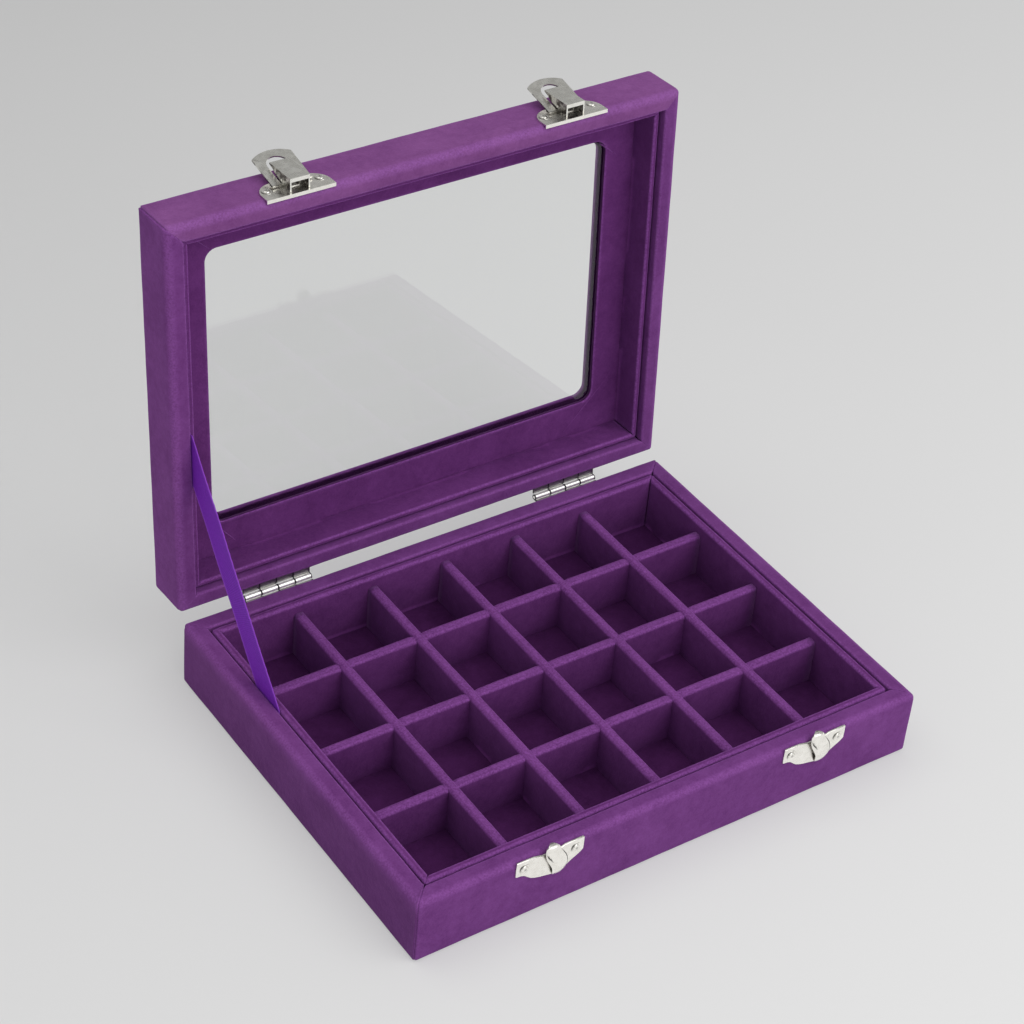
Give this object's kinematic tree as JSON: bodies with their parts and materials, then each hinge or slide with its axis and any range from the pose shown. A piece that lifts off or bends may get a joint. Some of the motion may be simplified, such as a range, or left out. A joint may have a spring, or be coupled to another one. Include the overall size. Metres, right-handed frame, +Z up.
{
  "type": "ring display box",
  "caption": "Velvet covered ring display box with divided compartments, a hinged glass lid on a ribbon stay and two snap clasps.",
  "frame": {"origin": "centre of the base's underside, on the surface it stands on", "axes": "+Z up, +X along the width to the right, -Y towards the front with the clasps"},
  "size_m": [0.2, 0.1882, 0.1813],
  "materials": {
    "velvet": "matte",
    "velvet_inside": "matte",
    "board": "matte",
    "felt": "matte",
    "nickel": "polished",
    "steel": "satin",
    "glass": "polished",
    "ribbon": "satin"
  },
  "bodies": {
    "base": {"base_front_wall": "velvet", "base_rear_wall": "velvet", "base_left_wall": "velvet", "base_right_wall": "velvet", "base_bottom_board": "board", "underside_cover": "felt", "tray_floor": "velvet_inside", "liner_front": "velvet_inside", "liner_rear": "velvet_inside", "liner_left": "velvet_inside", "liner_right": "velvet_inside", "long_divider_1": "velvet_inside", "long_divider_2": "velvet_inside", "long_divider_3": "velvet_inside", "long_divider_4": "velvet_inside", "long_divider_5": "velvet_inside", "cross_divider_1": "velvet_inside", "cross_divider_2": "velvet_inside", "cross_divider_3": "velvet_inside", "front_catch_left": "nickel", "front_catch_right": "nickel", "catch_nails": "nickel", "hinge_left_base_leaf": "steel", "hinge_left_pin": "steel", "hinge_right_base_leaf": "steel", "hinge_right_pin": "steel", "ribbon_stay": "ribbon"},
    "lid": {"hinge_left_lid_leaf": "steel", "hinge_right_lid_leaf": "steel", "lid_front_rail": "velvet", "lid_rear_rail": "velvet", "lid_left_rail": "velvet", "lid_right_rail": "velvet", "lid_lining_front": "velvet_inside", "lid_lining_rear": "velvet_inside", "lid_lining_left": "velvet_inside", "lid_lining_right": "velvet_inside", "lid_top_frame": "velvet", "glass_pane": "glass", "glass_retainer": "velvet_inside", "clasp_left_plate": "nickel", "clasp_left_pin": "steel", "clasp_left_spring": "steel", "clasp_right_plate": "nickel", "clasp_right_pin": "steel", "clasp_right_spring": "steel", "clasp_nails": "nickel"},
    "clasp_left_lever": {"clasp_left_lever": "nickel"},
    "clasp_right_lever": {"clasp_right_lever": "nickel"}
  },
  "joints": [
    {"name": "lid_hinge", "type": "hinge", "parent": "base", "child": "lid", "pos_m": [0, 0.07665, 0.02615], "axis": [1, 0, 0], "range_deg": [0, 94], "deforming": ["ribbon_stay"]},
    {"name": "clasp_left_press", "type": "hinge", "parent": "lid", "child": "clasp_left_lever", "pos_m": [0, 0.09396, 0.17831], "axis": [-1, 0, 0], "range_deg": [0, 12], "stiffness_Nm_per_rad": 0.01, "springref_deg": -5.73, "deforming": ["clasp_left_spring"]},
    {"name": "clasp_right_press", "type": "hinge", "parent": "lid", "child": "clasp_right_lever", "pos_m": [0, 0.09396, 0.17831], "axis": [-1, 0, 0], "range_deg": [0, 12], "stiffness_Nm_per_rad": 0.01, "springref_deg": -5.73, "deforming": ["clasp_right_spring"]}
  ]
}
